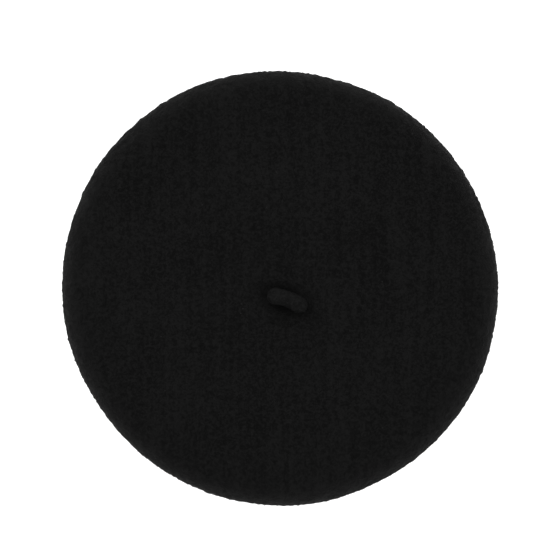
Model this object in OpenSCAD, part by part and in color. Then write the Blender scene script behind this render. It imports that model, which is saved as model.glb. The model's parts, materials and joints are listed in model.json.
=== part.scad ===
// Lined wool beret, lying crown up on the edge of its head opening.
// Millimetres. Origin: middle of the resting ring, at the surface. +Z up, the back seam towards +Y.

/* [Body] */
// Diameter across the rim
disc_d = 280; // [270:5:310]
// Height of the middle of the crown
crown_h = 47; // [44:1:56]
// Outside radius of the rolled rim
rim_r = 19; // [16:0.5:20]
// How far the crown rises between the rim and the middle
crown_rise = 4; // [3:0.5:8]
// Thickness of the felt
felt_t = 2.5; // [2:0.1:3]

/* [Head opening] */
// Head size, round the inside of the sweatband
head_size = 570; // [550:10:590]
// Thickness of the leather sweatband
band_t = 1.3; // [1:0.1:1.5]
// Height of the sweatband
band_h = 32; // [28:1:34]
// Height of the felt margin that stands behind the sweatband
margin_h = 9; // [8:0.5:11]
// Radius of the turn from the resting ring up into the margin
turn_r = 4; // [3.5:0.5:5]
// Width of the flat ring that the beret rests on
rest_w = 6; // [4:1:7]

/* [Stalk] */
// Radius of the stalk
stalk_r = 4.8; // [3.5:0.1:5]
// Length of the stalk between the middles of its round ends
stalk_len = 16; // [12:0.5:22]
// Place of the stalk's root
stalk_root = [-2.2, -5.6]; // [-10:0.1:10]
// Direction that the stalk leans towards, from +X
stalk_heading = -18; // [-180:1:180]
// Rise of the stalk above the level crown
stalk_rise = 8; // [6:1:40]

/* [Lining] */
// Thickness of the satin lining
lining_t = 0.5; // [0.4:0.1:0.6]
// Space between felt and lining
lining_gap = 2.2; // [2:0.1:2.5]
// Radius of the lining's round tip
tip_r = 117; // [100:1:118]

/* [Labels] */
// Maker's label, width and depth
maker_label = [52, 30]; // [20:1:60]
// Care label, width and length
care_label_size = [24, 16]; // [12:1:24]
// Direction of the care label, from +X
care_heading = 150; // [120:1:165]

/* [Hidden] */
$fn = 96;

clear = 0.3;              // space between neighbours that don't touch
thread_r = 0.28;          // radius of the sewing thread
arc_steps = 12;           // steps along each round stretch of the outline
label_t = 0.4;            // thickness of a label

// Sweatband and the layers behind it, from the head outwards
band_in_r = head_size / (2 * PI);
band_out_r = band_in_r + band_t;
band_z = 1;
hem_in_r = band_out_r + 0.2;
hem_out_r = hem_in_r + lining_t;
margin_in_r = hem_out_r + 0.2;
margin_out_r = margin_in_r + felt_t;
hem_z = 3;                // lower edge of the lining's hem
seam_z = 4.5;             // height of the seam round the opening

// Resting ring and underside
rest_in_r = margin_in_r + turn_r;
rest_out_r = rest_in_r + rest_w;

// Rolled rim: an arc round rim_c, met below by the straight underside and above by the dome
rim_c = [disc_d / 2 - rim_r, crown_h - crown_rise - rim_r];
to_rim = rim_c - [rest_out_r, 0];
under_slope = atan2(to_rim[1], to_rim[0]) - asin(rim_r / norm(to_rim));
dome_r = (pow(rim_c[0], 2) + pow(rim_r + crown_rise, 2) - pow(rim_r, 2)) / (2 * crown_rise);
dome_z = crown_h - dome_r;
dome_end = asin(rim_c[0] / (dome_r - rim_r));

// Lining's two faces, as depths under the outside of the felt
lining_out = felt_t + lining_gap;
lining_in = lining_out + lining_t;
tip_end = asin(tip_r / dome_r);
tip_gap_deg = 0.02;       // opening between tip and side, where their seam lies

// Stalk's root, a ball that stands just clear of the crown
function dome_height(r, depth) = dome_z + sqrt(pow(dome_r - depth, 2) - r * r);
stalk_z = dome_height(norm(stalk_root), 0) + stalk_r + clear;
shank_r = 0.8;
knot_r = 3.2;
knot_t = 1.4;

// Care label, hinged on top of the margin and resting on the underside
care_hinge_r = margin_out_r - 1;
care_hinge_z = margin_h + lining_t + 1.5;
care_t = 0.6;
care_slope = 10;

// Zigzag over the sweatband's meeting ends
tape_w_deg = 9;
tape_t = 0.5;
zigzag_count = 9;
zigzag_len = 6;

// Points along an arc, angles from +Z. An arc that runs on into the next leaves out its last point.
function arc(c, r, a0, a1, last = arc_steps) =
    [for (i = [0:last]) let (a = a0 + (a1 - a0) * i / arc_steps) c + r * [sin(a), cos(a)]];

function reverse(points) = [for (i = [len(points) - 1:-1:0]) points[i]];

// Outline of the crown at a depth under the felt's outside, between two angles of the dome
function dome(depth, a0, a1, last = arc_steps) = arc([0, dome_z], dome_r - depth, a0, a1, last);

// Outline of the rim and underside at a depth, from the crown to the resting ring's outer edge
function rim(depth) = concat(
    arc(rim_c, rim_r - depth, dome_end, 90, arc_steps - 1),
    arc(rim_c, rim_r - depth, 90, 180 - under_slope),
    [[rest_out_r - depth * tan(under_slope / 2), depth]]
);

// Outline of the turn up into the margin at a depth
function turn(depth) = concat(
    arc([rest_in_r, turn_r], turn_r - depth, 180, 270),
    [[margin_in_r + depth, margin_h]]
);

function felt_face(depth) =
    concat(dome(depth, 0, dome_end, arc_steps - 1), rim(depth), turn(depth));

// Side lining's faces: e is 0 for the felt's side and lining_t for the inside. It runs round the rim
// and underside, wraps over the felt margin and ends in a hem behind the sweatband.
function side_face(e) = concat(
    dome(lining_out + e, tip_end + tip_gap_deg, dome_end, arc_steps - 1),
    rim(lining_out + e),
    [
        [margin_out_r + clear + e, lining_out + e],
        [margin_out_r + clear + e, margin_h + clear + e],
        [hem_out_r - e, margin_h + clear + e],
        [hem_out_r - e, hem_z]
    ]
);

module between(outer, inner) {
    rotate_extrude() polygon(concat(outer, reverse(inner)));
}

module ring(r_in, r_out, z0, z1) {
    rotate_extrude() translate([r_in, z0]) square([r_out - r_in, z1 - z0]);
}

module thread_ring(r, z, thread = thread_r) {
    translate([0, 0, z]) rotate_extrude() translate([r, 0]) circle(r = thread, $fn = 24);
}

module at_stalk() {
    translate([stalk_root[0], stalk_root[1], stalk_z]) rotate([0, -stalk_rise, stalk_heading]) children();
}

module felt_shell() {
    color("#131314") difference() {
        between(felt_face(0), felt_face(felt_t));
        translate([stalk_root[0], stalk_root[1], crown_h - 2 * felt_t])
            cylinder(r = shank_r + clear, h = 4 * felt_t);
    }
}

module stalk() {
    color("#1b1b1c") at_stalk() {
        sphere(r = stalk_r);
        rotate([0, 90, 0]) cylinder(r = stalk_r, h = stalk_len);
        translate([stalk_len, 0, 0]) sphere(r = stalk_r);
    }
}

module stalk_stitching() {
    knot_z = dome_height(norm(stalk_root) + knot_r, felt_t) - clear - knot_t;
    color("#101011") translate([stalk_root[0], stalk_root[1], knot_z]) {
        cylinder(r = knot_r, h = knot_t);
        cylinder(r = shank_r, h = stalk_z - stalk_r - clear - knot_z);
    }
}

module lining_tip() {
    color("#1d1d20") between(dome(lining_out, 0, tip_end), dome(lining_in, 0, tip_end));
}

module lining_side() {
    color("#1d1d20") between(side_face(0), side_face(lining_t));
}

module lining_stitching() {
    color("#2a2a2e") thread_ring(tip_r, dome_height(tip_r, lining_in) - thread_r - 0.1);
}

module maker_label_sheet(size, depth, thickness) {
    translate([-size[0] / 2, -size[1] / 2, dome_height(0, lining_in) - depth - thickness])
        cube([size[0], size[1], thickness]);
}

module maker_label() {
    color("#cfc9bd") maker_label_sheet(maker_label, clear + 0.3, label_t);
}

module maker_label_stitching() {
    border = 1.5;
    frame = maker_label - [2 * border, 2 * border];
    depth = clear + 0.3 + label_t;
    color("#8d8779") difference() {
        maker_label_sheet(frame, depth, thread_r);
        maker_label_sheet(frame - [2 * thread_r, 2 * thread_r], depth - 1, 3);
    }
}

// A strip bent round until its ends nearly meet at the back, with a groove for its seam
module sweatband() {
    gap_deg = 0.2;
    groove = 2 * (thread_r + 0.04);
    color("#241d18") rotate([0, 0, 90 + gap_deg / 2]) rotate_extrude(angle = 360 - gap_deg) difference() {
        translate([band_in_r, band_z]) square([band_t, band_h]);
        translate([band_in_r - 1, seam_z - groove / 2]) square([1 + groove, groove]);
    }
}

// Anything that lies against the sweatband's outer face at the back, a given angle wide
module back_patch(r, thickness, width_deg, z0, z1) {
    rotate([0, 0, 90 - width_deg / 2]) rotate_extrude(angle = width_deg)
        translate([r, z0]) square([thickness, z1 - z0]);
}

module sweatband_back_tape() {
    color("#18181a") back_patch(
        band_out_r + 0.05, tape_t, tape_w_deg, margin_h + lining_t + 2 * clear, band_z + band_h - 1);
}

module sweatband_back_stitching() {
    z0 = margin_h + lining_t + 2 * clear + 1.5;
    pitch = (band_z + band_h - 2.5 - z0) / zigzag_count;
    slant = atan2(pitch, zigzag_len);
    color("#2e2620") translate([0, band_out_r + 0.05 + tape_t + thread_r + 0.1, z0 + pitch / 2])
        for (i = [0:zigzag_count - 1])
            translate([0, 0, i * pitch]) rotate([0, i % 2 == 0 ? slant : -slant, 0])
                rotate([0, 90, 0]) cylinder(r = thread_r, h = zigzag_len, center = true, $fn = 24);
}

module sweatband_stitching() {
    color("#2e2620") thread_ring(band_in_r + thread_r + 0.04, seam_z);
}

module care_label() {
    color("#d9d6cf") rotate([0, 0, care_heading]) translate([care_hinge_r, 0, care_hinge_z])
        rotate([0, care_slope, 0]) translate([-care_t / 2, -care_label_size[0] / 2, -care_t / 2])
            cube([care_label_size[1], care_label_size[0], care_t]);
}

felt_shell();
stalk();
stalk_stitching();
lining_tip();
lining_side();
lining_stitching();
maker_label();
maker_label_stitching();
sweatband();
sweatband_back_tape();
sweatband_back_stitching();
sweatband_stitching();
care_label();
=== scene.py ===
"""A lined wool beret, lying crown up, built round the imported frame. Metres, in the frame's axes."""
import json
import math

import bpy
import numpy as np
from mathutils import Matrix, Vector, noise


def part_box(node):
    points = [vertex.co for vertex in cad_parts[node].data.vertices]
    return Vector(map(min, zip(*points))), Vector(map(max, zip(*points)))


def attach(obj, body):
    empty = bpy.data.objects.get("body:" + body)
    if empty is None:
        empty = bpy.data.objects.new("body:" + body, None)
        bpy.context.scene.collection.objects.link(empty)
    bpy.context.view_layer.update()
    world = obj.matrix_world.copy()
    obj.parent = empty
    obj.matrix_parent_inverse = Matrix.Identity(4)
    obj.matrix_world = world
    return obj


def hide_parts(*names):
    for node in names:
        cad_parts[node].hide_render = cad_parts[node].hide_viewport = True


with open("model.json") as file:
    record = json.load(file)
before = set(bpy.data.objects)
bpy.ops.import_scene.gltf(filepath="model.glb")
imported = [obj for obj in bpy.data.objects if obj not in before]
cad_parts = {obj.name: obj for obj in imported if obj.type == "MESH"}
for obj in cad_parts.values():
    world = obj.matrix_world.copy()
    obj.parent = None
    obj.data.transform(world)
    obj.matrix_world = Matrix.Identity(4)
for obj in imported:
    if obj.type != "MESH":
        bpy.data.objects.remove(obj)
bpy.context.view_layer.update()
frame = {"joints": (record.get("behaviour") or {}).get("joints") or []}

MM = 0.001
rng = np.random.default_rng(7)

# ---------------------------------------------------------------- sizes, from the frame and the design
SHELL_LO, SHELL_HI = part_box("felt_shell")
BAND_LO, BAND_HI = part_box("sweatband")
LABEL_LO, LABEL_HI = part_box("maker_label")
JOINTS = {j["name"]: j for j in frame["joints"]}

DISC_R = SHELL_HI[0]
CROWN_H = SHELL_HI[2]
FELT_T = 2.5 * MM
RIM_R = 19 * MM
CROWN_RISE = 4 * MM
BAND_OUT_R = BAND_HI[0]
BAND_IN_R = BAND_OUT_R - 1.3 * MM
HEM_R = BAND_OUT_R + 0.35 * MM
MARGIN_IN_R = BAND_OUT_R + 0.9 * MM
MARGIN_OUT_R = MARGIN_IN_R + FELT_T
MARGIN_H = 9 * MM
TURN_R = 4 * MM
REST_W = 6 * MM
LINING_GAP = 2.45 * MM
LINING_T = 0.3 * MM
TIP_R = 117 * MM
SEAM_Z = 4.5 * MM
LABEL_T = 0.35 * MM
SAG_CAP = 2.2 * MM
STALK_LEN = 26.2 * MM

REST_IN_R = MARGIN_IN_R + TURN_R
REST_OUT_R = REST_IN_R + REST_W
RIM_C = np.array([DISC_R - RIM_R, CROWN_H - CROWN_RISE - RIM_R])
TO_RIM = RIM_C - [REST_OUT_R, 0]
UNDER_SLOPE = math.atan2(TO_RIM[1], TO_RIM[0]) - math.asin(RIM_R / np.hypot(*TO_RIM))
DOME_R = (RIM_C[0] ** 2 + (RIM_R + CROWN_RISE) ** 2 - RIM_R ** 2) / (2 * CROWN_RISE)
DOME_Z = CROWN_H - DOME_R
DOME_END = math.asin(RIM_C[0] / (DOME_R - RIM_R))

# The stalk's root and the way it leans, from its joint
ROOT = Vector(JOINTS["stalk_tilt"]["pos_m"])
LEAN = Vector((0, 0, 1)).cross(Vector(JOINTS["stalk_tilt"]["axis"]))
ASIDE = Vector((0, 0, 1)).cross(LEAN)


# ---------------------------------------------------------------- outlines
def arc(centre, radius, start, end, steps=24):
    """Points on an arc, its angles counted from +Z towards +R."""
    a = np.linspace(start, end, steps)
    return np.asarray(centre) + radius * np.column_stack([np.sin(a), np.cos(a)])


def outline(depth):
    """The felt's outline at a depth under its outside: crown, rim, underside, resting ring, margin."""
    return np.concatenate([
        arc((0, DOME_Z), DOME_R - depth, 0, DOME_END)[:-1],
        arc(RIM_C, RIM_R - depth, DOME_END, math.pi - UNDER_SLOPE, 48),
        [[REST_OUT_R - depth * math.tan(UNDER_SLOPE / 2), depth]],
        arc((REST_IN_R, TURN_R), TURN_R - depth, math.pi, 1.5 * math.pi, 12),
        [[MARGIN_IN_R + depth, MARGIN_H]],
    ])


def lengths(points):
    """Distance along a line of points, from its first."""
    return np.concatenate([[0], np.cumsum(np.linalg.norm(np.diff(points, axis=0), axis=1))])


def along(points, at):
    """Points at the given distances along a line of points."""
    s = lengths(points)
    return np.column_stack([np.interp(at, s, points[:, k]) for k in range(points.shape[1])])


def smooth(x, low, high):
    """0 below low, 1 above high, smooth between."""
    t = np.clip((x - low) / (high - low), 0, 1)
    return t * t * (3 - 2 * t)


# ---------------------------------------------------------------- mesh making
def make(name, verts, faces, material=None):
    mesh = bpy.data.meshes.new(name)
    mesh.from_pydata([tuple(v) for v in verts], [], [tuple(f) for f in faces])
    mesh.validate()
    mesh.shade_smooth()
    obj = bpy.data.objects.new(name, mesh)
    bpy.context.scene.collection.objects.link(obj)
    if material:
        mesh.materials.append(material)
    return obj


def coords(obj):
    out = np.empty(3 * len(obj.data.vertices))
    obj.data.vertices.foreach_get("co", out)
    return out.reshape(-1, 3)


def set_coords(obj, points):
    obj.data.vertices.foreach_set("co", np.asarray(points, float).ravel())
    obj.data.update()


def normals(obj):
    out = np.empty(3 * len(obj.data.vertices))
    obj.data.vertex_normals.foreach_get("vector", out)
    return out.reshape(-1, 3)


def apply_modifiers(obj):
    """Replaces an object's mesh with what its modifiers make of it."""
    evaluated = obj.evaluated_get(bpy.context.evaluated_depsgraph_get())
    mesh = bpy.data.meshes.new_from_object(evaluated)
    old = obj.data
    obj.modifiers.clear()
    obj.data = mesh
    bpy.data.meshes.remove(old)
    mesh.name = obj.name


def subdivide(obj, levels=1):
    obj.modifiers.new("Subdivision", "SUBSURF").levels = levels
    apply_modifiers(obj)


def thicken(obj, thickness, offset=-1.0):
    """Gives a sheet its thickness, inwards with offset -1."""
    solid = obj.modifiers.new("Solidify", "SOLIDIFY")
    solid.thickness = thickness
    solid.offset = offset
    solid.use_even_offset = True
    apply_modifiers(obj)


def finish_piece(obj, body, slot, *nodes):
    """Rides the piece on its body, and hides the CAD nodes it stands for."""
    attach(obj, body)
    if nodes:
        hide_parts(*nodes)
    return obj


def disc_grid(cells):
    """A round sheet of even quads without a pole: each point's ring (0 to 1) and angle, and the faces."""
    line = np.linspace(-1, 1, cells + 1)
    x, y = np.meshgrid(line, line, indexing="ij")
    ring = np.maximum(abs(x), abs(y))
    wide = abs(x) >= abs(y)
    safe_x = np.where(x == 0, 1, x)
    safe_y = np.where(y == 0, 1, y)
    angle = np.where(wide, math.pi / 4 * y / safe_x, math.pi / 2 - math.pi / 4 * x / safe_y)
    angle = np.where(np.where(wide, x, y) < 0, angle + math.pi, angle)
    return ring.ravel(), angle.ravel(), ring_grid(cells + 1, cells + 1, closed=False)


def ring_grid(rows, columns, closed=True):
    """Quads between rows of points. Closed rows run round, from their last column back to their first."""
    index = np.arange(rows * columns).reshape(rows, columns)
    if closed:
        index = np.column_stack([index, index[:, 0]])
    corners = [index[:-1, :-1], index[1:, :-1], index[1:, 1:], index[:-1, 1:]]
    return np.stack(corners, -1).reshape(-1, 4)


def lathe(r, z, angle):
    """Points from radii, heights and angles that broadcast together."""
    r, z, angle = np.broadcast_arrays(r, z, angle)
    return np.column_stack([(r * np.cos(angle)).ravel(), (r * np.sin(angle)).ravel(), z.ravel()])


def tube(path, radii, sides=8, closed=False):
    """Points and faces of a tube along a path, its rings turned without twist and its ends capped."""
    path = np.asarray(path, float)
    radii = np.broadcast_to(radii, len(path))
    ahead = np.roll(path, -1, 0) - np.roll(path, 1, 0) if closed else np.gradient(path, axis=0)
    ahead /= np.linalg.norm(ahead, axis=1)[:, None]
    off_axis = (0.31, 0.17, 0.93)  # not along any of the paths
    side = np.cross(ahead[0], off_axis)
    turn = np.linspace(0, 2 * math.pi, sides, endpoint=False)
    verts = []
    for point, direction, radius in zip(path, ahead, radii):
        side = side - direction * np.dot(side, direction)
        side /= np.linalg.norm(side)
        up = np.cross(direction, side)
        round_it = np.outer(np.cos(turn), side) + np.outer(np.sin(turn), up)
        verts.append(point + radius * round_it)
    verts = np.concatenate(verts)
    faces = ring_grid(len(path), sides).tolist()
    if closed:
        last = (len(path) - 1) * sides
        faces += [[last + k, k, (k + 1) % sides, last + (k + 1) % sides] for k in range(sides)]
    else:
        faces += [list(range(sides)), [len(path) * sides - 1 - k for k in range(sides)]]
    return verts, faces


def join(parts):
    """One list of points and one of faces from several."""
    verts, faces, count = [], [], 0
    for v, f in parts:
        verts.append(v)
        faces += [[count + i for i in face] for face in f]
        count += len(v)
    return np.concatenate(verts), faces


def stitch(centre, run, out, length, radius, rise):
    """One stitch: a short thread that bows out of the cloth and dives back in at its ends."""
    u = np.linspace(-1, 1, 7)
    sunk, taper = 0.6, 0.75
    centre, run, out = (np.asarray(v, float) for v in (centre, run, out))
    lift = rise * (1 - u ** 2) - sunk * radius
    path = centre + np.outer(u * length / 2, run) + np.outer(lift, out)
    return tube(path, radius * np.sqrt(1 - taper * u ** 4), 6)


def stitch_ring(radius, z, count, length, thread, out, rise):
    """A round of stitches, each a little aslant; out is (radial, upward)."""
    slant = 0.03
    parts = []
    for k in range(count):
        a = 2 * math.pi * (k + 0.5) / count
        radial = np.array([math.cos(a), math.sin(a), 0])
        centre = radial * radius + [0, 0, z]
        run = np.array([-math.sin(a), math.cos(a), rng.normal(0, slant)])
        away = radial * out[0] + np.array([0, 0, out[1]])
        parts.append(stitch(centre, run, away, length, thread, rise))
    return join(parts)


# ---------------------------------------------------------------- materials
MIX_A, MIX_B, MIX_RESULT = 6, 7, 2  # a Mix node's sockets for colours


class Shader:
    """A material's nodes, added with few words."""

    def __init__(self, name):
        self.material = bpy.data.materials.new(name)
        self.material.use_nodes = True
        self.nodes = self.material.node_tree.nodes
        self.links = self.material.node_tree.links
        self.bsdf = self.nodes["Principled BSDF"]
        self.place = self.nodes.new("ShaderNodeTexCoord").outputs["Object"]

    def set(self, **values):
        for key, value in values.items():
            self.bsdf.inputs[key.replace("_", " ")].default_value = value

    def link(self, output, node, socket):
        self.links.new(output, node.inputs[socket])

    def stretched(self, scale):
        node = self.nodes.new("ShaderNodeMapping")
        node.inputs["Scale"].default_value = scale
        self.link(self.place, node, "Vector")
        return node.outputs["Vector"]

    def noise(self, scale, detail=2.0, roughness=0.5, distortion=0.0, vector=None):
        node = self.nodes.new("ShaderNodeTexNoise")
        node.inputs["Scale"].default_value = scale
        node.inputs["Detail"].default_value = detail
        node.inputs["Roughness"].default_value = roughness
        node.inputs["Distortion"].default_value = distortion
        self.link(vector or self.place, node, "Vector")
        return node.outputs["Fac"]

    def cells(self, scale, feature="F1"):
        node = self.nodes.new("ShaderNodeTexVoronoi")
        node.feature = feature
        node.inputs["Scale"].default_value = scale
        self.link(self.place, node, "Vector")
        return node.outputs["Distance"]

    def wave(self, scale, direction, distortion=0.0):
        node = self.nodes.new("ShaderNodeTexWave")
        node.bands_direction = direction
        node.inputs["Scale"].default_value = scale
        node.inputs["Distortion"].default_value = distortion
        self.link(self.place, node, "Vector")
        return node.outputs["Fac"]

    def math(self, operation, a, b=None):
        node = self.nodes.new("ShaderNodeMath")
        node.operation = operation
        for k, value in enumerate((a, b)):
            if value is None:
                continue
            if isinstance(value, (int, float)):
                node.inputs[k].default_value = value
            else:
                self.link(value, node, k)
        return node.outputs[0]

    def weigh(self, *pairs):
        """Sum of each output times its weight."""
        total = None
        for output, weight in pairs:
            part = self.math("MULTIPLY", output, weight)
            total = part if total is None else self.math("ADD", total, part)
        return total

    def ramp(self, value, *stops):
        """Colours (or greys) over a value from 0 to 1."""
        node = self.nodes.new("ShaderNodeValToRGB")
        points = node.color_ramp.elements
        while len(points) < len(stops):
            points.new(0.5)
        for point, (position, colour) in zip(points, stops):
            point.position = position
            if isinstance(colour, (int, float)):
                colour = (colour,) * 3
            point.color = (*colour, 1)
        self.link(value, node, "Fac")
        return node.outputs["Color"]

    def mix(self, factor, a, colour):
        """An output's colour where the factor is 0, and a plain one where it is 1."""
        node = self.nodes.new("ShaderNodeMix")
        node.data_type = "RGBA"
        self.link(factor, node, "Factor")
        self.links.new(a, node.inputs[MIX_A])
        node.inputs[MIX_B].default_value = (*colour, 1)
        return node.outputs[MIX_RESULT]

    def tint(self, a, b):
        """One colour times another."""
        node = self.nodes.new("ShaderNodeMix")
        node.data_type = "RGBA"
        node.blend_type = "MULTIPLY"
        node.inputs["Factor"].default_value = 1.0
        self.links.new(a, node.inputs[MIX_A])
        self.links.new(b, node.inputs[MIX_B])
        return node.outputs[MIX_RESULT]

    def away(self, centre, half):
        """Distance from a point: 1 on an ellipse, its half lengths given along and across the stalk."""
        node = self.nodes.new("ShaderNodeMapping")
        node.vector_type = "TEXTURE"
        node.inputs["Location"].default_value = centre
        node.inputs["Rotation"].default_value = (0, 0, math.atan2(LEAN.y, LEAN.x))
        node.inputs["Scale"].default_value = (*half, 1.0)
        self.link(self.place, node, "Vector")
        far = self.nodes.new("ShaderNodeVectorMath")
        far.operation = "LENGTH"
        self.links.new(node.outputs["Vector"], far.inputs[0])
        return far.outputs["Value"]

    def bump(self, height, distance, strength=1.0):
        node = self.nodes.new("ShaderNodeBump")
        node.inputs["Strength"].default_value = strength
        node.inputs["Distance"].default_value = distance
        self.link(height, node, "Height")
        self.link(node.outputs["Normal"], self.bsdf, "Normal")

    def colour(self, output):
        self.link(output, self.bsdf, "Base Color")

    def roughness(self, output):
        self.link(output, self.bsdf, "Roughness")


def felt(name, dark, light, sheen, specular, shade_round_stalk=False):
    """Fulled wool: matted fibres in every direction, faint mottling and streaks, a few specks of lint,
    and, when asked, painted shade darkening its colour round the stalk.
    """
    s = Shader(name)
    fibres = s.noise(1900, 3, 0.6, 1.5)
    clumps = s.noise(720, 2, 0.55)
    tufts = s.noise(330, 2, 0.5)
    broad = s.noise(22, 2, 0.5)
    streaks = s.noise(1, 2, 0.5, vector=s.stretched((260, 14, 40)))
    grain = s.weigh((fibres, 0.2), (clumps, 0.42), (tufts, 0.2), (broad, 0.08), (streaks, 0.1))
    wool = s.ramp(grain, (0.44, dark), (0.56, light))
    if shade_round_stalk:  # painted shade: the felt's colour darkens round the stalk's root and dimple, where shade falls
        stalk_shade_reach = s.away(ROOT + 7 * MM * LEAN, (22 * MM, 14 * MM))
        wool = s.tint(wool, s.ramp(stalk_shade_reach, (0.4, 0.25), (0.95, 1.0)))
    speck = s.math("LESS_THAN", s.cells(170), 0.07)
    rare = s.math("GREATER_THAN", s.noise(60, 0), 0.68)
    lint = s.math("MULTIPLY", speck, rare)
    lint_gain = 2.2
    s.colour(s.mix(lint, wool, tuple(lint_gain * c for c in light)))
    s.roughness(s.ramp(clumps, (0.3, 0.8), (0.7, 1.0)))
    s.bump(s.weigh((fibres, 0.4), (clumps, 1.0), (tufts, 0.9)), 0.8 * MM, 0.9)
    s.set(Specular_IOR_Level=specular, Sheen_Weight=sheen, Sheen_Roughness=0.38)
    return s.material


def nap(name, colour):
    """Loose wool fibres. Too fine for a pattern, so their colour is plain."""
    s = Shader(name)
    s.set(Base_Color=(*colour, 1), Roughness=0.9, Specular_IOR_Level=0.1)
    return s.material


def satin(name, dark, light):
    """Satin lining: fine weave, soft broad gloss."""
    s = Shader(name)
    across = s.wave(620, "X", 0.4)
    down = s.wave(620, "Y", 0.4)
    slub = s.noise(1, 2, vector=s.stretched((30, 900, 300)))
    weave = s.weigh((across, 0.35), (down, 0.35), (slub, 0.3))
    s.colour(s.ramp(weave, (0.25, dark), (0.8, light)))
    s.roughness(s.ramp(slub, (0.3, 0.32), (0.7, 0.46)))
    s.bump(weave, 0.06 * MM, 0.5)
    s.set(Specular_IOR_Level=0.5, Sheen_Weight=0.1, Anisotropic=0.4)
    return s.material


def leather(name, dark, light):
    """Smooth sheepskin: pebbled grain, pores and a slightly worn colour."""
    s = Shader(name)
    pebbles = s.cells(1250, "SMOOTH_F1")
    creases = s.cells(420, "DISTANCE_TO_EDGE")
    worn = s.noise(45, 4, 0.6)
    pores = s.noise(2600, 1)
    s.colour(s.ramp(s.weigh((worn, 0.7), (pebbles, 0.3)), (0.3, dark), (0.7, light)))
    s.roughness(s.ramp(worn, (0.3, 0.42), (0.75, 0.62)))
    s.bump(s.weigh((pebbles, -0.6), (creases, 0.8), (pores, 0.2)), 0.18 * MM, 0.7)
    s.set(Specular_IOR_Level=0.45)
    return s.material


def thread(name, dark, light):
    """Twisted sewing thread."""
    s = Shader(name)
    twist = s.wave(1500, "DIAGONAL", 1.0)
    fluff = s.noise(3000, 2)
    s.colour(s.ramp(s.weigh((twist, 0.7), (fluff, 0.3)), (0.2, dark), (0.8, light)))
    s.bump(twist, 0.08 * MM, 0.8)
    s.set(Roughness=0.6, Specular_IOR_Level=0.35, Sheen_Weight=0.15)
    return s.material


def woven(name, dark, light, scale, gloss):
    """Plain woven label or tape, over and under."""
    s = Shader(name)
    across = s.wave(scale, "X")
    down = s.wave(scale * 0.7, "Y")
    over = s.math("ABSOLUTE", s.math("SUBTRACT", across, down))
    age = s.noise(120, 3)
    s.colour(s.ramp(s.weigh((over, 0.5), (age, 0.5)), (0.2, dark), (0.8, light)))
    s.bump(over, 0.1 * MM, 0.7)
    s.set(Roughness=gloss, Specular_IOR_Level=0.3, Sheen_Weight=0.15)
    return s.material


# the body's felt takes the painted shade round the stalk
WOOL = felt("wool_felt", (0.0, 0.0, 0.0), (0.0042, 0.0042, 0.0042), 0.006, 0.088, True)
STALK_WOOL = felt("stalk_felt", (0.0034, 0.0034, 0.0034), (0.0078, 0.0078, 0.0078), 0.0, 0.04)
NAP = nap("wool_nap", (0.008, 0.008, 0.008))
SATIN = satin("lining_satin", (0.012, 0.012, 0.015), (0.03, 0.03, 0.036))
LEATHER = leather("band_leather", (0.026, 0.017, 0.012), (0.078, 0.05, 0.034))
BLACK_THREAD = thread("black_thread", (0.01, 0.01, 0.011), (0.035, 0.035, 0.038))
BAND_THREAD = thread("band_thread", (0.09, 0.065, 0.045), (0.24, 0.18, 0.13))
LABEL_THREAD = thread("label_thread", (0.3, 0.27, 0.21), (0.55, 0.5, 0.4))
TAPE = woven("cotton_tape", (0.012, 0.012, 0.012), (0.04, 0.04, 0.042), 700, 0.85)
LABEL_WEAVE = woven("woven_label", (0.46, 0.42, 0.34), (0.72, 0.68, 0.58), 900, 0.7)
LABEL_SATIN = woven("satin_label", (0.6, 0.58, 0.52), (0.82, 0.8, 0.75), 1100, 0.42)


# ---------------------------------------------------------------- felt body
def wavy(points):
    """The disc's outline isn't quite round: slightly oval, with small waves that grow to the rim."""
    r = np.hypot(points[:, 0], points[:, 1])
    a = np.arctan2(points[:, 1], points[:, 0])
    wave = (
        0.0052 * np.cos(2 * (a - math.radians(-35)))
        + 0.0018 * np.cos(3 * (a - math.radians(20)))
        + 0.0016 * np.cos(5 * (a - math.radians(47)))
        + 0.0011 * np.cos(8 * (a - math.radians(10)))
        + 0.0007 * np.cos(13 * (a - math.radians(4)))
    )
    grow = smooth(r, REST_OUT_R, DISC_R)
    out = points.copy()
    out[:, :2] *= (1 + wave * grow)[:, None]
    return out


def dimple(points):
    """The crown dips a little where the stalk is sewn down, and more on the side it leans to."""
    deep, half_long, half_wide, past_root = 2.4 * MM, 15 * MM, 9 * MM, 2 * MM
    lower = points.copy()
    dx = points[:, 0] - ROOT.x - past_root * LEAN.x
    dy = points[:, 1] - ROOT.y - past_root * LEAN.y
    forth = dx * LEAN.x + dy * LEAN.y
    aside = dx * ASIDE.x + dy * ASIDE.y
    far = (forth / half_long) ** 2 + (aside / half_wide) ** 2
    on_crown = points[:, 2] > RIM_C[1]
    lower[:, 2] -= np.where(on_crown, deep * np.exp(-far), 0)
    return lower


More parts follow.
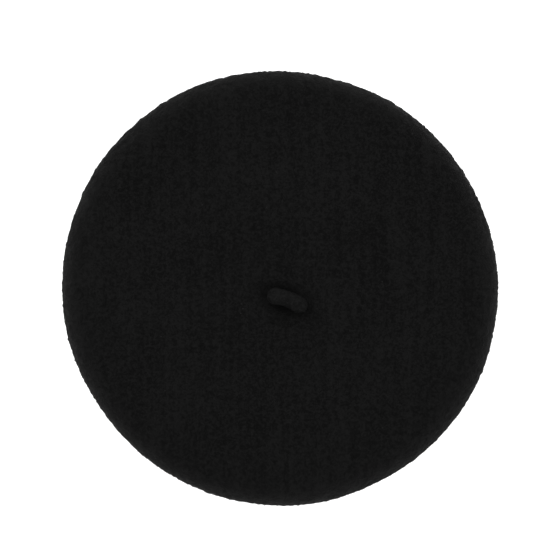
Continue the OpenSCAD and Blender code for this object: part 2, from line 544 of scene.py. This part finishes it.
def sag(obj, frames=12):
    """Lets the crown settle as stiff cloth, held at the stalk's root and inwards of the resting ring."""
    held_past_ring, held_round_root = 6 * MM, 4 * MM
    start = coords(obj)
    r = np.hypot(start[:, 0], start[:, 1])
    below = start[:, 2] < RIM_C[1]
    held = obj.vertex_groups.new(name="held")
    near_ring = r < REST_OUT_R + held_past_ring
    near_root = np.hypot(start[:, 0] - ROOT.x, start[:, 1] - ROOT.y) < held_round_root
    for i in np.flatnonzero((below & near_ring) | (~below & near_root)):
        held.add([int(i)], 1.0, "REPLACE")
    cloth = obj.modifiers.new("Cloth", "CLOTH")
    settings = cloth.settings
    settings.quality = 6
    settings.mass = 0.15
    settings.tension_stiffness = 100
    settings.compression_stiffness = 100
    settings.shear_stiffness = 100
    settings.bending_stiffness = 150
    settings.air_damping = 5
    settings.vertex_group_mass = "held"
    settings.use_pressure = True
    settings.uniform_pressure_force = 0.1
    settings.effector_weights.gravity = 0.02
    cloth.collision_settings.use_collision = False
    for f in range(1, frames + 1):
        bpy.context.scene.frame_set(f)
    apply_modifiers(obj)
    bpy.context.scene.frame_set(1)
    moved = coords(obj) - start
    far = np.linalg.norm(moved, axis=1)
    moved *= (np.minimum(far, SAG_CAP) / np.maximum(far, 1e-9))[:, None]
    set_coords(obj, start + moved)


def near_rim(points):
    """0 on the crown, 1 at the very edge."""
    return smooth(np.hypot(points[:, 0], points[:, 1]), DISC_R - 7 * MM, DISC_R - 1 * MM)


def felt_body():
    """One seamless felted shell: crown, rolled rim, underside, resting ring and turned-up margin."""
    ring, angle, faces = disc_grid(96)
    line = outline(0)
    at = along(line, ring * lengths(line)[-1])
    points = dimple(wavy(lathe(at[:, 0], at[:, 1], angle)))
    obj = make("felt_body", points, faces, WOOL)
    sag(obj)
    subdivide(obj)
    lumps(obj, 0.35 * MM, 190)
    lumps(obj, 0.3 * MM, 420)
    lumps(obj, 0.75 * MM, 460, near_rim)
    thicken(obj, FELT_T)
    settle(obj)
    return finish_piece(obj, "hat", "wool_felt", "felt_shell")


# ---------------------------------------------------------------- stalk
def stalk_line(s):
    """Middle line of the stalk, s from the back of its root to its tip: level, bent a bit like a bean."""
    behind_root = 6.0 * MM
    forth = s - behind_root
    at = np.array([0, 5, 9, 14, 18.5, 22.5, 26.2]) * MM
    aside = cubic(at, np.array([0.0, 0.3, 0.8, 0.9, 0.3, -0.6, -1.7]) * MM, s)
    up = cubic(at, np.array([-0.6, 0.0, 0.7, 0.9, 0.7, 0.3, -0.4]) * MM, s)
    return np.array(ROOT) + np.outer(forth, LEAN) + np.outer(aside, ASIDE) + np.outer(up, (0, 0, 1))


def cubic(at, values, t):
    """A smooth curve through values, by cubic pieces with averaged slopes."""
    slope = np.gradient(values, at)
    k = np.clip(np.searchsorted(at, t, "right") - 1, 0, len(at) - 2)
    step = at[k + 1] - at[k]
    u = (t - at[k]) / step
    return (
        values[k] * (2 * u ** 3 - 3 * u ** 2 + 1)
        + slope[k] * step * (u ** 3 - 2 * u ** 2 + u)
        + values[k + 1] * (3 * u ** 2 - 2 * u ** 3)
        + slope[k + 1] * step * (u ** 3 - u ** 2)
    )


def stalk():
    """Rolled felt with two round ends. It turns about the middle of its root end."""
    total, cap = STALK_LEN, 5.4 * MM
    ease = np.sin(np.linspace(0, math.pi / 2, 12)[1:-1])
    s = np.concatenate([
        cap * (1 - ease[::-1]),
        np.linspace(cap, total - cap, 26),
        total - cap * (1 - ease),
    ])
    at = np.array([0, 6, 10, 15, 20, 26.2]) * MM
    radius = cubic(at, np.array([5.3, 5.3, 4.95, 4.95, 5.2, 5.1]) * MM, s)
    into = np.maximum((cap - s) / cap, (s - total + cap) / cap).clip(0)
    verts, faces = tube(stalk_line(s), radius * np.sqrt(1 - into ** 2), 36)
    obj = make("felt_stalk", verts, faces, STALK_WOOL)
    lumps(obj, 0.2 * MM, 380)
    subdivide(obj)
    lumps(obj, 0.1 * MM, 1100)
    return finish_piece(obj, "stalk", "stalk_felt", "stalk")


def stalk_collar():
    """Felt drawn up by the stitching into a short neck that ends inside the stalk's round root."""
    profile = np.array([[6.6, -8.4], [5.4, -7.7], [4.3, -7.0], [3.8, -6.2], [3.6, -5.2],
                        [3.4, -4.0], [2.6, -3.2], [1.2, -2.9]]) * MM
    turn = np.linspace(0, 2 * math.pi, 40, endpoint=False)
    verts = lathe(profile[:, :1], profile[:, 1:], turn[None, :]) + np.array(ROOT)
    count, sides = profile.shape[0], len(turn)
    faces = ring_grid(count, sides).tolist()
    faces += [list(range(sides))[::-1], [(count - 1) * sides + k for k in range(sides)]]
    obj = make("felt_collar", verts, faces, STALK_WOOL)
    subdivide(obj)
    lumps(obj, 0.25 * MM, 420)
    return finish_piece(obj, "hat", "wool_felt")


def lumps(obj, height, scale, weight=None):
    """Uneven surface of felt: hills of the given height, 1 / scale apart."""
    points = coords(obj)
    amount = height * np.array([noise.noise(Vector(p) * scale) for p in points])
    if weight:
        amount *= weight(points)
    set_coords(obj, points + normals(obj) * amount[:, None])


def settle(obj):
    """Nothing of the felt lies under the surface that the beret rests on."""
    points = coords(obj)
    points[:, 2] = points[:, 2].clip(0)
    set_coords(obj, points)


# ---------------------------------------------------------------- lining
def lining_outline():
    """Side lining: from the tip's seam round the rim and underside, over the felt margin, to its hem."""
    depth = FELT_T + LINING_GAP
    wall = MARGIN_OUT_R + 0.6 * MM
    top = MARGIN_H + 0.6 * MM
    start = math.asin(TIP_R / DOME_R)
    return np.concatenate([
        arc((0, DOME_Z), DOME_R - depth, start, DOME_END, 4)[:-1],
        arc(RIM_C, RIM_R - depth, DOME_END, math.pi - UNDER_SLOPE, 30),
        [[REST_OUT_R - depth * math.tan(UNDER_SLOPE / 2), depth]],
        [[wall + 1 * MM, depth + 0.1 * MM], [wall, depth + 1 * MM], [wall, top - 0.5 * MM],
         [wall - 0.5 * MM, top], [HEM_R + 0.5 * MM, top], [HEM_R, top - 0.5 * MM], [HEM_R, 3 * MM]],
    ])


def lining_side():
    """Eased satin: small folds run from both seams and die out between them."""
    columns, rows = 420, 52
    line = lining_outline()
    total = lengths(line)[-1]
    s = np.linspace(0, total, rows)
    at = along(line, s)
    ahead = np.gradient(at, axis=0)
    ahead /= np.linalg.norm(ahead, axis=1)[:, None]
    inward = np.column_stack([ahead[:, 1], -ahead[:, 0]])
    a = np.linspace(0, 2 * math.pi, columns, endpoint=False)
    folds = 0.5 * np.sin(46 * a + 1.5 * np.sin(3 * a)) + 0.35 * np.sin(71 * a + 2 * np.sin(2 * a + 1))
    loose = 0.5 * np.sin(5 * a) + 0.5
    free = smooth(s, 0, 10 * MM) * (1 - smooth(s, total - 34 * MM, total - 22 * MM))
    near = np.exp(-s / (22 * MM)) + np.exp(-(total - 22 * MM - s).clip(0) / (18 * MM))
    off = np.outer(free * near * 0.9 * MM, folds) + np.outer(free * 0.7 * MM, loose)
    clear = smooth(s, 0, 2 * MM) * (1 - smooth(s, total - 30 * MM, total - 24 * MM))
    off += (clear * 0.2 * MM)[:, None]
    r = at[:, :1] + inward[:, :1] * off
    z = at[:, 1:] + inward[:, 1:] * off
    obj = make("satin_side", lathe(r, z, a[None, :]), ring_grid(rows, columns), SATIN)
    thicken(obj, LINING_T, 0)
    return finish_piece(obj, "hat", "lining_satin", "lining_side")


def tip_height(x, y):
    """Height of the lining tip: it hangs under the dome in slack, soft folds, less where it is sewn."""
    r = np.hypot(x, y)
    a = np.arctan2(y, x)
    slack = 1 - smooth(r, 0.3 * TIP_R, TIP_R)
    hang = 0.9 * MM * (1 - (r / TIP_R) ** 2)
    broad = (
        0.45 * np.sin(x * 88 + 1.6 * np.sin(y * 47))
        + 0.4 * np.sin(y * 104 + 1.4 * np.sin(x * 61 + 1))
    )
    near = smooth(r, 24 * MM, 50 * MM)
    drawn = 0.5 * np.sin(17 * a + 1.7 * np.sin(3 * a + r * 40)) * smooth(r, 45 * MM, 80 * MM)
    ease = 1 - smooth(r, TIP_R - 9 * MM, TIP_R - 1 * MM)
    folds = (broad * (0.25 + 0.75 * near) * slack ** 0.3 + drawn) * ease * MM
    dome = DOME_Z + np.sqrt((DOME_R - FELT_T - LINING_GAP) ** 2 - r ** 2)
    return dome - hang - 0.9 * folds - 0.8 * MM * ease


def lining_tip():
    """Round satin tip: hangs a little, drawn into short puckers by its seam, its edge turned back."""
    ring, a, faces = disc_grid(120)
    cut = TIP_R + 7 * MM
    s = ring * cut
    turned = np.clip(s - TIP_R, 0, None)
    r = np.where(turned > 0, TIP_R - (turned - 0.6 * MM).clip(0), s)
    pucker = 0.35 * MM * np.sin(64 * a + np.sin(5 * a)) * np.exp(-(TIP_R - r).clip(0) / (7 * MM))
    pucker *= smooth(TIP_R - r, 0, 2 * MM)
    z = tip_height(r * np.cos(a), r * np.sin(a)) - pucker
    z += np.where(turned > 0, np.minimum(turned * 1.2, 0.75 * MM), 0)
    obj = make("satin_tip", lathe(r, z, a), faces, SATIN)
    thicken(obj, LINING_T, 0)
    return finish_piece(obj, "hat", "lining_satin", "lining_tip")


def lining_seam():
    """The stitches that join the lining's tip and side."""
    z = DOME_Z + math.sqrt((DOME_R - FELT_T - LINING_GAP) ** 2 - TIP_R ** 2) - 0.35 * MM
    verts, faces = stitch_ring(TIP_R + 0.1 * MM, z, 300, 1.9 * MM, 0.16 * MM, (0, -1), 0.15 * MM)
    return finish_piece(make("lining_seam", verts, faces, BLACK_THREAD), "hat", "black_thread",
                        "lining_stitching")


# ---------------------------------------------------------------- labels
def slab(width, length, columns, rows):
    """A thin sheet as points in its own plane and its faces: across x, along y."""
    x = np.linspace(-width / 2, width / 2, columns + 1)
    y = np.linspace(-length / 2, length / 2, rows + 1)
    gx, gy = np.meshgrid(x, y, indexing="ij")
    return gx.ravel(), gy.ravel(), ring_grid(columns + 1, rows + 1, closed=False)


def rounded(obj, width):
    bevel = obj.modifiers.new("Bevel", "BEVEL")
    bevel.width = width
    bevel.segments = 2
    bevel.limit_method = "ANGLE"
    apply_modifiers(obj)


def maker_label():
    """Blank woven label, sewn down all round, so it quilts slightly between its stitches."""
    width = LABEL_HI[0] - LABEL_LO[0]
    length = LABEL_HI[1] - LABEL_LO[1]
    border, turned = 1.5 * MM, 6 * MM
    x, y, faces = slab(width, length, 78, 45)
    to_edge = np.minimum(width / 2 - abs(x), length / 2 - abs(y))
    crown = 0.35 * MM * smooth(to_edge, border, 6 * MM)
    crown -= 0.12 * MM * np.exp(-((to_edge - border) / MM) ** 2)
    under = LINING_T / 2 + 0.1 * MM
    z = tip_height(x, y) - under - crown
    obj = make("blank_maker_label", np.column_stack([x, y, z]), faces, LABEL_WEAVE)
    thicken(obj, LABEL_T, 1)
    rounded(obj, 0.1 * MM)
    finish_piece(obj, "hat", "woven_label", "maker_label")

    half = np.array([width / 2 - border, length / 2 - border])
    pitch = 2.6 * MM
    parts = []
    for along_x in (True, False):
        run, across = (0, 1) if along_x else (1, 0)
        count = int(2 * half[run] / pitch)
        for side in (-1, 1):
            for k in range(count):
                centre = np.zeros(3)
                centre[run] = -half[run] + 2 * half[run] * (k + 0.5) / count
                centre[across] = side * half[across]
                centre[2] = tip_height(centre[0], centre[1]) - under - LABEL_T
                parts.append(stitch(centre, np.eye(3)[run], (0, 0, -1), 1.9 * MM, 0.14 * MM, 0.15 * MM))
    verts, faces = join(parts)
    finish_piece(make("maker_label_stitches", verts, faces, LABEL_THREAD), "hat", "label_thread",
                 "maker_label_stitching")


def care_label():
    """Blank satin label folded into a loop and caught by its two ends."""
    joint = JOINTS["care_label_flap"]
    hinge = Vector(joint["pos_m"])
    side = Vector(joint["axis"])
    out = Vector((0, 0, 1)).cross(side)
    slope = math.radians(10)
    ahead = out * math.cos(slope) - Vector((0, 0, 1)) * math.sin(slope)
    up = side.cross(ahead)
    length, width, gap = 15.6 * MM, 24 * MM, 0.22 * MM
    t = np.linspace(-1, 1, 41)
    reach = length * (1 - abs(t) ** 1.6)
    lift = np.sign(t) * gap * np.sqrt(1 - abs(abs(t) * 2 - 1) ** 4)
    w = np.linspace(-width / 2, width / 2, 25)
    grid = np.array([
        [hinge + ahead * float(a) + up * float(b) + side * float(c)
         + up * float(0.25 * MM * (a / length) * math.cos(3 * c / width)) for c in w]
        for a, b in zip(reach, lift)
    ]).reshape(-1, 3)
    obj = make("blank_care_label", grid, ring_grid(len(t), len(w), closed=False), LABEL_SATIN)
    thicken(obj, 0.16 * MM, 0)
    return finish_piece(obj, "care_label", "satin_label", "care_label")


# ---------------------------------------------------------------- sweatband
def sweatband():
    """Leather strip bent round, its ends meeting at the back: rounded edges, a pressed line near the
    top, and the groove that its stitches lie in."""
    height = BAND_HI[2] - BAND_LO[2]
    edge = 0.5 * MM
    seam = SEAM_Z - BAND_LO[2]
    groove, lip, floor = 0.3 * MM, 0.9 * MM, 0.35 * MM
    inner = [(0.0, edge), (0.0, seam - lip), (groove, seam - floor),
             (groove, seam + floor), (0.0, seam + lip)]
    inner += [(0.0, z) for z in np.linspace(6 * MM, height - 5 * MM, 10)]
    inner += [(0.0, height - 3.4 * MM), (0.18 * MM, height - 3.0 * MM), (0.0, height - 2.6 * MM),
              (0.0, height - edge)]
    thick = BAND_OUT_R - BAND_IN_R
    into, onward = (0.5, 1.0, 1.57), (0.0, 0.5, 1.0)  # angles round each rounded corner
    inside, outside, under_top = edge, thick - edge, height - edge
    top = [(inside - edge * math.cos(a), under_top + edge * math.sin(a)) for a in into]
    top += [(outside + edge * math.sin(a), under_top + edge * math.cos(a)) for a in onward]
    outer = [(thick, z) for z in np.linspace(under_top, edge, 14)]
    low = [(outside + edge * math.cos(a), edge - edge * math.sin(a)) for a in into]
    low += [(inside - edge * math.sin(a), edge - edge * math.cos(a)) for a in onward]
    loop = np.array(inner + top + outer + low)
    columns = 480
    butt = 0.15 * MM / BAND_IN_R
    a = np.linspace(math.pi / 2 + butt, 2.5 * math.pi - butt, columns)
    lean = smooth(loop[:, 1], 8 * MM, height)
    sway = (0.5 * np.sin(3 * a + 1) + 0.3 * np.sin(7 * a)) * 0.5 * MM
    still = smooth(abs(a - 1.5 * math.pi), math.pi - 0.3, math.pi - 0.05)
    r = BAND_IN_R + loop[:, :1] + np.outer(lean, sway * (1 - still))
    z = BAND_LO[2] + loop[:, 1:]
    verts = lathe(r.T, z.T, a[:, None])
    count = len(loop)
    faces = ring_grid(columns, count).tolist()
    faces += [list(range(count))[::-1], [(columns - 1) * count + k for k in range(count)]]
    obj = make("leather_sweatband", verts, faces, LEATHER)
    finish_piece(obj, "hat", "band_leather", "sweatband")

    verts, faces = stitch_ring(
        BAND_IN_R + 0.2 * MM, SEAM_Z, 186, 2.4 * MM, 0.22 * MM, (-1, 0), 0.18 * MM)
    finish_piece(make("sweatband_stitches", verts, faces, BAND_THREAD), "hat", "band_thread",
                 "sweatband_stitching")


def back_tape():
    """Tape behind the sweatband's meeting ends, and the zigzag that closes them through it."""
    low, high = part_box("sweatband_back_tape")
    half = math.radians(4.5)
    columns, rows = 36, 44
    a = np.linspace(math.pi / 2 - half, math.pi / 2 + half, columns)
    z = np.linspace(low[2], high[2], rows)
    r = BAND_OUT_R + 0.12 * MM + 0.06 * MM * np.sin(z * 1400)[:, None] * np.cos(a * 90)[None, :]
    points = lathe(r, z[:, None], a[None, :])
    obj = make("back_tape", points, ring_grid(rows, columns, closed=False), TAPE)
    thicken(obj, 0.35 * MM, 1)
    finish_piece(obj, "hat", "cotton_tape", "sweatband_back_tape")

    low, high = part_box("sweatband_back_stitching")
    turns = 9
    t = np.linspace(0, 2 * turns, 14 * turns + 1)
    swing = abs((t + 0.5) % 2 - 1) * 2 - 1
    path = np.column_stack([swing * (high[0] - low[0]) / 2,
                            np.full_like(t, BAND_OUT_R + 0.62 * MM),
                            np.linspace(low[2], high[2], len(t))])
    verts, faces = tube(path, 0.2 * MM, 8)
    finish_piece(make("back_zigzag", verts, faces, BAND_THREAD), "hat", "band_thread",
                 "sweatband_back_stitching")


def stalk_knot():
    """Wound thread knot inside the crown, and its shank up through the felt to the stalk."""
    low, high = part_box("stalk_stitching")
    t = np.linspace(0, 2 * math.pi, 260, endpoint=False)
    ring = 1.9 + 0.85 * np.cos(5 * t)
    knot = np.column_stack([
        ROOT.x + ring * MM * np.cos(3 * t),
        ROOT.y + ring * MM * np.sin(3 * t),
        low[2] + 0.7 * MM + 0.42 * MM * np.sin(5 * t),
    ])
    parts = [tube(knot, 0.26 * MM, 8, closed=True)]
    strands, steps, twist, off = 3, 24, 4.2, 0.3 * MM
    height = np.linspace(low[2] + 0.4 * MM, high[2] - 1.5 * MM, steps)
    for strand in range(strands):
        a = 2 * math.pi * strand / strands + np.linspace(0, twist, steps)
        shank = np.column_stack([ROOT.x + off * np.cos(a), ROOT.y + off * np.sin(a), height])
        parts.append(tube(shank, 0.24 * MM, 8))
    verts, faces = join(parts)
    finish_piece(make("stalk_knot", verts, faces, BLACK_THREAD), "hat", "black_thread",
                 "stalk_stitching")


# ---------------------------------------------------------------- nap
def pick(obj, count, weight):
    """Random places on a mesh, chosen by area times weight(middles, normals)."""
    mesh = obj.data
    mesh.calc_loop_triangles()
    triangles = np.empty(3 * len(mesh.loop_triangles), int)
    mesh.loop_triangles.foreach_get("vertices", triangles)
    corners = coords(obj)[triangles.reshape(-1, 3)]
    cross = np.cross(corners[:, 1] - corners[:, 0], corners[:, 2] - corners[:, 0])
    area = np.linalg.norm(cross, axis=1)
    normal = cross / np.maximum(area, 1e-15)[:, None]
    chance = area * weight(corners.mean(1), normal)
    chosen = rng.choice(len(area), count, p=chance / chance.sum())
    u, v = rng.random((2, count))
    fold = u + v > 1
    u[fold], v[fold] = 1 - u[fold], 1 - v[fold]
    c = corners[chosen]
    place = c[:, 0] + u[:, None] * (c[:, 1] - c[:, 0]) + v[:, None] * (c[:, 2] - c[:, 0])
    return place, normal[chosen]


def fibres(name, place, normal, length, lift, width, material):
    """Fine curved fibres, each a closed three-sided spike with two bends."""
    count = len(place)
    loose = rng.normal(size=(count, 3))
    flat = loose - normal * (loose * normal).sum(1)[:, None]
    flat /= np.linalg.norm(flat, axis=1)[:, None]
    across = np.cross(normal, flat)
    size = length * rng.lognormal(-0.15, 0.4, count).clip(0.4, 2.2)[:, None]
    raise_ = np.radians(rng.uniform(*lift, count))[:, None]
    curl = rng.normal(0, 0.5, (count, 1))
    first = flat * np.cos(raise_) + normal * np.sin(raise_)
    second = first + across * curl - normal * 0.35 * np.sin(raise_)
    third = second + across * curl * 0.8 - normal * 0.5 * np.sin(raise_)
    spine = [place - normal * 0.2 * MM]
    for step, share in ((first, 0.34), (second, 0.33), (third, 0.33)):
        step = step / np.linalg.norm(step, axis=1)[:, None]
        spine.append(spine[-1] + step * size * share)
    turn = np.radians((90, 210, 330))
    rings = []
    for k, share in enumerate((1.0, 0.8, 0.5)):
        for a in turn:
            spoke = across * math.cos(a) + normal * math.sin(a)
            rings.append(spine[k] + width / 2 * share * spoke)
    verts = np.stack(rings + [spine[3]], 1).reshape(-1, 3)
    one = [[2, 1, 0], [6, 7, 9], [7, 8, 9], [8, 6, 9]]
    for k in (0, 3):
        one += [[k, k + 1, k + 4, k + 3], [k + 1, k + 2, k + 5, k + 4], [k + 2, k, k + 3, k + 5]]
    points_each = len(rings) + 1
    faces = [[points_each * i + c for c in face] for i in range(count) for face in one]
    return make(name, verts, faces, material)


def outer_only(points, normal):
    """True on the felt's outside, and false on its inside and on the turned-up margin."""
    r = np.hypot(points[:, 0], points[:, 1])
    outward = (points[:, :2] * normal[:, :2]).sum(1) / np.maximum(r, 1e-9)
    middle = np.where(r < RIM_C[0], 0, outward)
    top = points[:, 2] > RIM_C[1]
    facing = np.where(top, normal[:, 2], -normal[:, 2])
    return ((facing + middle) > 0.25) & (top | (r > REST_IN_R))


def felt_nap(body):
    """Short fibres all over the felt's outside, thickest and most upright round its edge."""
    def on_crown(points, normal):
        r = np.hypot(points[:, 0], points[:, 1])
        return outer_only(points, normal) * (points[:, 2] > RIM_C[1]) * (r < RIM_C[0] + 6 * MM)

    def on_rim(points, normal):
        r = np.hypot(points[:, 0], points[:, 1])
        return outer_only(points, normal) * smooth(r, RIM_C[0], DISC_R - 3 * MM)

    def on_underside(points, normal):
        r, z = np.hypot(points[:, 0], points[:, 1]), points[:, 2]
        return outer_only(points, normal) * (z < RIM_C[1]) * (z > 2 * MM) * (r > REST_OUT_R)

    def on_edge(points, normal):
        r = np.hypot(points[:, 0], points[:, 1])
        return outer_only(points, normal) * smooth(r, DISC_R - 3.5 * MM, DISC_R - 1.5 * MM)

    count = 12000
    for name, where, share, length, lift, width in (
        ("crown_nap", on_crown, 1.0, 1.3 * MM, (4, 28), 0.07 * MM),
        ("rim_nap", on_rim, 1.0, 1.1 * MM, (15, 70), 0.07 * MM),
        ("edge_nap", on_edge, 0.8, 0.9 * MM, (20, 85), 0.1 * MM),
        ("underside_nap", on_underside, 0.5, 1.1 * MM, (8, 50), 0.07 * MM),
    ):
        place, normal = pick(body, int(count * share), where)
        piece = fibres(name, place, normal, length, lift, width, NAP)
        finish_piece(piece, "hat", "wool_felt")


def stalk_nap(obj):
    """Fibres all over the stalk, but none where its root turns over the collar."""
    def clear_of_collar(points, normal):
        from_root = points - np.array(ROOT)
        forth, aside = from_root @ np.array(LEAN), from_root @ np.array(ASIDE)
        return (forth > 4 * MM) | (abs(aside) > 4.6 * MM)

    place, normal = pick(obj, 3600, clear_of_collar)
    piece = fibres("stalk_nap", place, normal, 1.1 * MM, (10, 60), 0.06 * MM, NAP)
    finish_piece(piece, "stalk", "stalk_felt")


# ---------------------------------------------------------------- stage, light and camera
def stage():
    """A pale floor that glows a little, so that it comes out white."""
    s = Shader("pale_floor")
    s.set(Base_Color=(0.86, 0.86, 0.86, 1), Roughness=0.9, Specular_IOR_Level=0.1,
          Emission_Color=(1, 1, 1, 1), Emission_Strength=0.55)
    reach = 3.0
    corners = [(-reach, -reach, 0), (reach, -reach, 0), (reach, reach, 0), (-reach, reach, 0)]
    make("floor", corners, [(0, 1, 2, 3)], s.material)


def soft_light(name, place, size, power):
    light = bpy.data.lights.new(name, "AREA")
    light.shape = "DISK"
    light.size = size
    light.energy = power
    obj = bpy.data.objects.new(name, light)
    bpy.context.scene.collection.objects.link(obj)
    obj.location = place
    obj.rotation_euler = (-Vector(place)).to_track_quat("-Z", "Y").to_euler()


def lights():
    """White surroundings and two wide lamps."""
    world = bpy.data.worlds.new("World")
    world.use_nodes = True
    background = world.node_tree.nodes["Background"]
    background.inputs["Color"].default_value = (1, 1, 1, 1)
    background.inputs["Strength"].default_value = 1.0
    bpy.context.scene.world = world
    soft_light("key", (-0.7, 0.9, 1.3), 0.9, 14)
    soft_light("fill", (1.0, -0.6, 1.1), 1.0, 7)


def camera():
    """Straight down, far off with a long lens, so that the beret lies a little low in the picture."""
    distance = 1.6
    view_width = 360.046 * MM  # at the height of the rim's middle
    data = bpy.data.cameras.new("camera")
    data.sensor_width = 36
    data.lens = data.sensor_width * distance / view_width
    obj = bpy.data.objects.new("camera", data)
    obj.location = (0.064 * MM, 5.079 * MM, RIM_C[1] + distance)
    bpy.context.scene.collection.objects.link(obj)
    bpy.context.scene.camera = obj


bpy.context.scene.view_settings.view_transform = "Standard"
camera()
lights()
stage()
body = felt_body()
felt_nap(body)
stalk_nap(stalk())
stalk_collar()
stalk_knot()
lining_tip()
lining_side()
lining_seam()
maker_label()
care_label()
sweatband()
back_tape()
